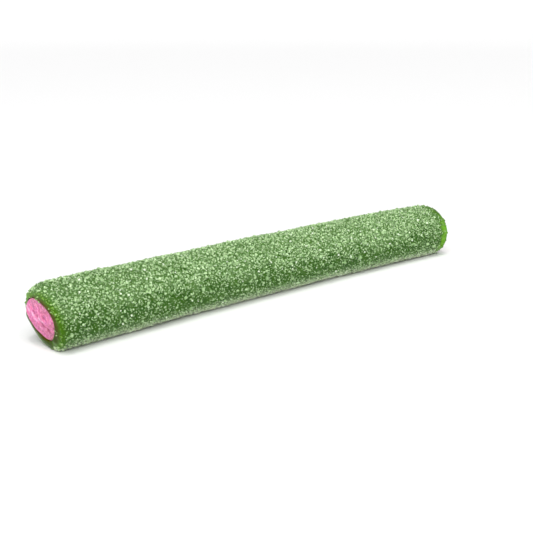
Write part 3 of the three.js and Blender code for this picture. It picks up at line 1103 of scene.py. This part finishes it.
def counted_draws(seed, count):
    """The numbers from 0 to 1 that place the coarse crystals of the solids: a counter
    whose bits are mixed by multiplying and shifting, in 32 bits."""
    mask = np.uint64(0xFFFFFFFF)
    step = np.uint64(0x6D2B79F5)
    state = (np.uint64(seed) + step * np.arange(1, count + 1, dtype=np.uint64)) & mask
    mixed = ((state ^ (state >> np.uint64(15))) * (state | np.uint64(1))) & mask
    remixed = ((mixed ^ (mixed >> np.uint64(7))) * (mixed | np.uint64(61))) & mask
    mixed = ((mixed + remixed) & mask) ^ mixed
    return (mixed ^ (mixed >> np.uint64(14))) / 2.0**32


GRIT_HEIGHT = 0.14 * MM
COARSE_DRAWS = 6
COARSE_SIDES = (1.0, 0.85, 0.7)
COARSE_SUNK = 0.3
COARSE_PLAY = 0.8
COARSE_FREE_HEIGHT = 1.3 * MM
COARSE_TONES = (0.15, 0.6)
COARSE_TONE_SEED = 41


def coarse_crystals(form, coat):
    """The largest crystals, each at the place, size and turn that it has in the solids,
    with its edges cut off."""
    count = coat.coarse_count
    draws = counted_draws(coat.coarse_seed, COARSE_DRAWS * count).reshape(count, COARSE_DRAWS)
    reach = form.length / 2 - coat.bare_end
    x, angle = spiral(count, reach, (draws[:, :2].T - 0.5) * COARSE_PLAY, form)
    x = np.clip(x, -reach, reach)
    size = between(coat.coarse_size, draws[:, 2] ** 2)
    sides = size[:, None] * np.array(COARSE_SIDES)
    x_turns, y_turns, z_turns = (axis_turns(axis, draws[:, 3 + axis] * pi) for axis in range(3))
    turns = x_turns @ y_turns @ z_turns
    places = settle(x, form.coat_radius + GRIT_HEIGHT - COARSE_SUNK * size, angle, form)
    lowest = places[:, 2] - (np.abs(turns[:, 2]) * sides).sum(1) / 2
    measures = {
        "tone": np.random.default_rng(COARSE_TONE_SEED).uniform(*COARSE_TONES, count),
        "edge": sugar_cover(x, form.coat_radius, angle, form)[1],
    }
    kept = lowest > COARSE_FREE_HEIGHT
    return join_grains(COARSE_BLOCK, places, sides, turns, measures, kept)


STRAY_SEED = 91
STRAY_NEAR_SHARE = 0.6
STRAY_SPREAD = 0.45 * MM
STRAY_SIDES = (0.5, 1.2)
STRAY_TONES = (0.3, 0.9)
STRAY_EDGE = 0.5
WIPED_CLEAN = 0.4


def stray_grains(form, coat):
    """Grains that the blade carried onto the cuts, most of them in the groove round the
    core: their distances from it spread as a bell curve. The wiped side has none."""
    draw = np.random.default_rng(STRAY_SEED)
    count = coat.stray_count
    side = np.where(np.arange(count) < STRAY_NEAR_SHARE * count, -1.0, 1.0)
    angle = draw.uniform(0, 2 * pi, count)
    radius = form.core_radius + np.abs(draw.normal(size=count)) * STRAY_SPREAD
    size = between(coat.stray_size, draw.uniform(size=count))
    sides = size[:, None] * draw.uniform(*STRAY_SIDES, (count, 3))
    places = settle(side * form.length / 2, radius, angle, form)
    turns = random_turns(draw, count)
    measures = {"tone": draw.uniform(*STRAY_TONES, count), "edge": np.full(count, STRAY_EDGE)}
    wiped = (side < 0) & (np.cos(angle - form.wiped_angle) > WIPED_CLEAN)
    return join_grains(MIDDLING_BLOCK, places, sides, turns, measures, ~wiped)


# Operators


class PENCIL_OT_jelly_tube(Operator):
    """Builds the green jelly tube that the sugar sticks to"""

    bl_idname = "pencil.jelly_tube"
    bl_label = "Jelly Tube"

    def execute(self, context):
        form = context.scene.stick_form
        finish = jelly_finish(context.scene.sweet_colours)
        piece = make_piece("jelly_tube", jelly_tube(form, frame_offset(form)), finish)
        ride_and_stand_for(piece, SHELL_NODE)
        return {"FINISHED"}


class PENCIL_OT_fondant_core(Operator):
    """Builds the pink fondant core with its cut faces"""

    bl_idname = "pencil.fondant_core"
    bl_label = "Fondant Core"

    def execute(self, context):
        form = context.scene.stick_form
        finish = fondant_finish(context.scene.sweet_colours)
        piece = make_piece("fondant_core", fondant_core(form, frame_offset(form)), finish)
        ride_and_stand_for(piece, CORE_NODE)
        return {"FINISHED"}


class PENCIL_OT_sour_sugar(Operator):
    """Builds the sugar coat, from dust to coarse crystals, and strays on the cuts"""

    bl_idname = "pencil.sour_sugar"
    bl_label = "Sour Sugar"

    def execute(self, context):
        form, coat = context.scene.stick_form, context.scene.sugar_coat
        offset = frame_offset(form)
        kinds = {name: scattered_grains(name, coat, form) for name in GRAIN_KINDS}
        kinds["coarse"] = coarse_crystals(form, coat)
        kinds["stray"] = stray_grains(form, coat)
        for name, (points, face_groups, measures) in kinds.items():
            shape = (points + offset, face_groups, measures)
            finish = sugar_finish(context.scene.sweet_colours, f"{name}_sugar")
            piece = make_piece(f"sugar_{name}", shape, finish, smooth=False)
            ride_and_stand_for(piece)
        return {"FINISHED"}


class PENCIL_OT_studio(Operator):
    """Sets the pale floor, the soft lights and the camera"""

    bl_idname = "pencil.studio"
    bl_label = "Studio"

    def execute(self, context):
        studio = context.scene.studio_setup
        make_floor(studio)
        make_sky(studio)
        make_lights(studio)
        make_camera(studio, frame_offset(context.scene.stick_form))
        context.scene.view_settings.view_transform = "Standard"
        return {"FINISHED"}


# The studio


FLOOR_FLAT = 1.5
FLOOR_BEND = 1.5
FLOOR_EDGE = 7.0
FLOOR_SLOPE = 0.3
FLOOR_INNER = (0.5, 1.0)
FLOOR_RINGS = 48
FLOOR_AROUND = 96
KEY_FROM = Vector((-0.42, -0.58, 1.0))
SPARK_PLACE = Vector((-0.12, -0.16, 0.55))
SPARK_SIZE = 0.05
SENSOR_WIDTH = 36
CLIP_START = 0.005


def make_floor(studio):
    """A pale floor that is flat in the middle and rises gently all round: a parabola that
    goes over into a straight slope, turned about the upright axis."""
    outer = np.linspace(FLOOR_FLAT, FLOOR_EDGE, FLOOR_RINGS)
    out = np.maximum(np.concatenate([FLOOR_INNER, outer]) - FLOOR_FLAT, 0)
    bend = FLOOR_SLOPE * out**2 / (2 * FLOOR_BEND)
    height = np.where(out < FLOOR_BEND, bend, FLOOR_SLOPE * (out - FLOOR_BEND / 2))
    height, radius, angle = turn_round(height, np.append(FLOOR_INNER, outer), FLOOR_AROUND)
    ring = np.stack([radius * np.cos(angle), radius * np.sin(angle), height], axis=-1)
    points = np.concatenate([np.zeros((1, 3)), ring])
    quads, fans = capped_faces(len(out), FLOOR_AROUND)
    shape = (points, [quads[:, ::-1], fans[:FLOOR_AROUND, ::-1]], {})
    floor = make_piece("floor", shape, floor_finish(studio.floor_colour))


def make_sky(studio):
    """Even white light from all round."""
    world = bpy.data.worlds.new("white_sky")
    world.use_nodes = True
    background = world.node_tree.nodes["Background"]
    background.inputs["Color"].default_value = (1, 1, 1, 1)
    background.inputs["Strength"].default_value = studio.sky_strength
    bpy.context.scene.world = world


def add_lamp(name, kind, strength, come_from):
    """A lamp that shines from a place, or from its direction, towards the stick."""
    lamp = bpy.data.lights.new(name, kind)
    lamp.energy = strength
    holder = bpy.data.objects.new(name, lamp)
    holder.location = come_from
    holder.rotation_euler = (-come_from).to_track_quat("-Z", "Y").to_euler()
    holder.visible_camera = False
    bpy.context.scene.collection.objects.link(holder)
    return lamp


def make_lights(studio):
    """Broad, even light from above, and a small square lamp that makes the crystals glint."""
    add_lamp("key_light", "SUN", studio.key_strength, KEY_FROM).angle = studio.key_spread
    add_lamp("spark_lamp", "AREA", studio.spark_power, SPARK_PLACE).size = SPARK_SIZE


def make_camera(studio, offset):
    """The camera, which looks along the direction that its azimuth and elevation give, and
    stands back from the aim point by its distance."""
    lens = bpy.data.cameras.new("camera")
    lens.lens = studio.lens
    lens.sensor_width = SENSOR_WIDTH
    lens.clip_start = CLIP_START
    camera = bpy.data.objects.new("camera", lens)
    level = np.cos(studio.elevation)
    across, away = -np.sin(studio.azimuth) * level, np.cos(studio.azimuth) * level
    forward = Vector((across, away, -np.sin(studio.elevation)))
    camera.location = Vector(studio.aim) + Vector(offset) - forward * studio.distance
    camera.rotation_euler = forward.to_track_quat("-Z", "Y").to_euler()
    bpy.context.scene.collection.objects.link(camera)
    bpy.context.scene.camera = camera


# The sidebar


class PENCIL_PT_sidebar(Panel):
    """Lists the pieces of the sweet and its studio"""

    bl_label = "Sour Watermelon Pencil"
    bl_space_type = "VIEW_3D"
    bl_region_type = "UI"
    bl_category = "Sweets"

    def draw(self, context):
        for operator in OPERATORS:
            self.layout.operator(operator.bl_idname)


GROUPS = {
    "stick_form": StickForm,
    "sugar_coat": SugarCoat,
    "sweet_colours": SweetColours,
    "studio_setup": StudioSetup,
}
OPERATORS = (
    PENCIL_OT_jelly_tube,
    PENCIL_OT_fondant_core,
    PENCIL_OT_sour_sugar,
    PENCIL_OT_studio,
)


def register():
    """Registers the groups, the operators and the panel."""
    for name, group in GROUPS.items():
        bpy.utils.register_class(group)
        setattr(bpy.types.Scene, name, PointerProperty(type=group))
    for shown in (*OPERATORS, PENCIL_PT_sidebar):
        bpy.utils.register_class(shown)


def unregister():
    """Takes them out again, the last one first."""
    for shown in (PENCIL_PT_sidebar, *reversed(OPERATORS)):
        bpy.utils.unregister_class(shown)
    for name, group in reversed(GROUPS.items()):
        delattr(bpy.types.Scene, name)
        bpy.utils.unregister_class(group)


def main():
    """Builds the sweet and its studio."""
    register()
    bpy.ops.pencil.jelly_tube()
    bpy.ops.pencil.fondant_core()
    bpy.ops.pencil.sour_sugar()
    bpy.ops.pencil.studio()


if __name__ == "__main__":
    main()
